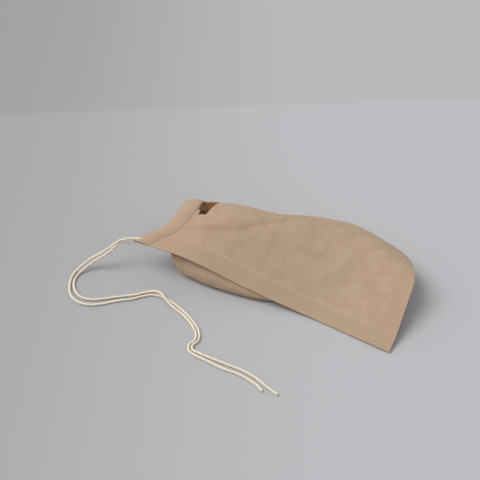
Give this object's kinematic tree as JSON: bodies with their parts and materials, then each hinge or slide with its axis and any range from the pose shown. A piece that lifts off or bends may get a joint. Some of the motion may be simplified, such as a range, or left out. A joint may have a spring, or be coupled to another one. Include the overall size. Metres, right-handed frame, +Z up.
{
  "type": "drawstring tea bag",
  "caption": "Flat fill-it-yourself filter paper bag with a drawstring in the hem of its open mouth and both string ends lying free.",
  "frame": {"origin": "on the table under the middle of the paper bag", "axes": "+X along the bag from its open mouth to its closed end, +Y from its near side seal to its far one, +Z up"},
  "size_m": [0.0985, 0.0784, 0.0178],
  "materials": {
    "filter_paper": "unbleached crimped filter paper",
    "cotton_string": "twisted cotton"
  },
  "bodies": {
    "root": {"filter_bag": "filter_paper", "drawstring": "cotton_string"}
  },
  "joints": []
}
